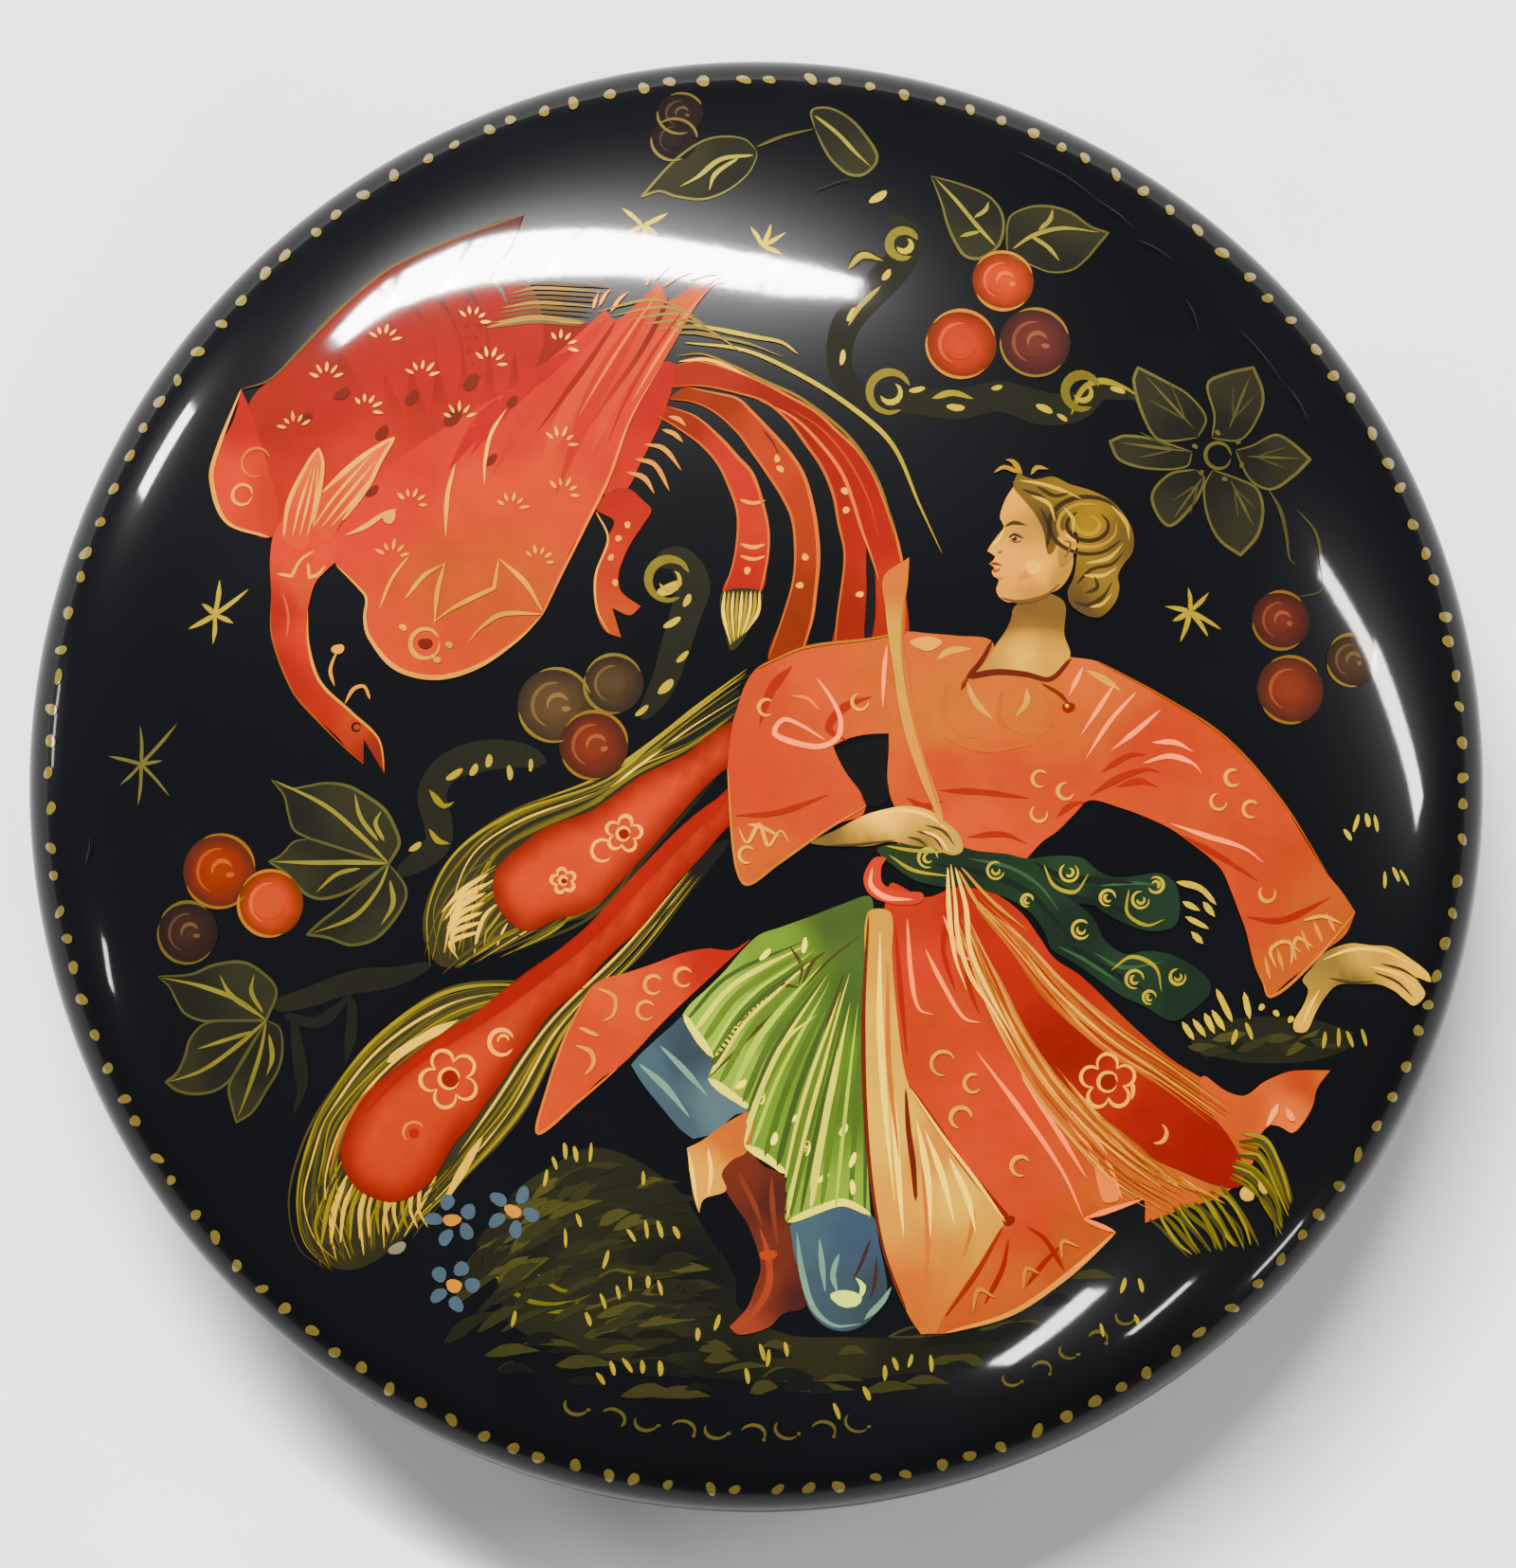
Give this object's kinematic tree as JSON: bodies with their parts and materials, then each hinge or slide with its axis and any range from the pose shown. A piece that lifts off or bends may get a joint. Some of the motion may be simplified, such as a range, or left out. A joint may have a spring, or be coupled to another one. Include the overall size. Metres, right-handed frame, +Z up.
{
  "type": "lacquered papier-mache brooch",
  "caption": "Round domed brooch of black lacquered papier-mache with a painted face, and a bar pin with a turning safety catch on its back.",
  "frame": {"origin": "the point of the table under the disc's centre, with the brooch lying face up on its bar pin", "axes": "+Z up out of the painted face; X along the bar pin, with its hinge at -X and its catch at +X; +Y to the top of the picture"},
  "size_m": [0.05, 0.05, 0.012],
  "materials": {
    "face_lacquer": "polished black lacquer over a tempera and gold miniature",
    "papier_mache": "pressed and oiled card",
    "back_lacquer": "black lacquer",
    "brass": "stamped and lightly tumbled",
    "nickelled_steel": "drawn and nickel plated wire"
  },
  "bodies": {
    "brooch": {"face_lacquer": "face_lacquer", "papier_mache_core": "papier_mache", "back_lacquer": "back_lacquer", "base_plate": "brass", "rivet_hinge_side": "brass", "rivet_catch_side": "brass", "hinge_pin": "nickelled_steel", "catch_housing": "brass"},
    "pin": {"pin_stem": "nickelled_steel"},
    "catch": {"catch_rotor": "brass"}
  },
  "joints": [
    {"name": "pin_hinge", "type": "hinge", "parent": "brooch", "child": "pin", "pos_m": [-0.014, 0, 0.00158], "axis": [0, 1, 0], "range_deg": [0, 85]},
    {"name": "catch_turn", "type": "hinge", "parent": "brooch", "child": "catch", "pos_m": [0.0129, 0, 0.00158], "axis": [-1, 0, 0], "range_deg": [0, 150]}
  ]
}
